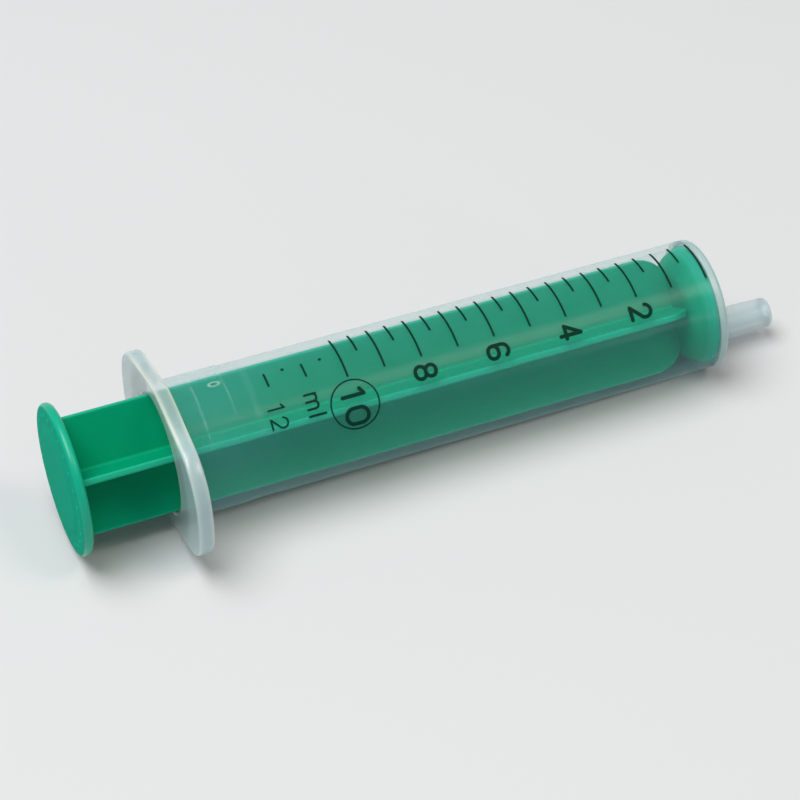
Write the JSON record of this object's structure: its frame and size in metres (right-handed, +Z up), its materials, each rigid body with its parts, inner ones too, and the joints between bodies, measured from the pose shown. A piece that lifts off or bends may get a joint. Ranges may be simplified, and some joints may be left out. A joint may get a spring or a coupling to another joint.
{
  "type": "disposable syringe",
  "caption": "Two-part slip-tip syringe with an off-centre nozzle, a winged finger flange, a printed volume scale and a ribbed plunger pushed home.",
  "frame": {"origin": "on the barrel's axis, in the front face of the finger flange", "axes": "+X along the barrel's axis to the nozzle; +Z up, away from the off-centre nozzle; the flange's wings along Y"},
  "size_m": [0.0998, 0.031, 0.0206],
  "materials": {
    "barrel_plastic": "translucent, natural, semi-gloss",
    "plunger_plastic": "opaque green, semi-gloss",
    "black_ink": "printed ink film"
  },
  "bodies": {
    "barrel": {"barrel": "barrel_plastic", "long_lines": "black_ink", "half_lines": "black_ink", "extension_dashes": "black_ink", "extension_dots": "black_ink", "number_2": "black_ink", "number_4": "black_ink", "number_6": "black_ink", "number_8": "black_ink", "number_10": "black_ink", "capacity_ring": "black_ink", "number_12": "black_ink", "unit_ml": "black_ink"},
    "plunger": {"plunger": "plunger_plastic"}
  },
  "joints": [
    {"name": "plunger_slide", "type": "slide", "parent": "barrel", "child": "plunger", "axis": [-1, 0, 0], "range_m": [0, 0.065]}
  ]
}
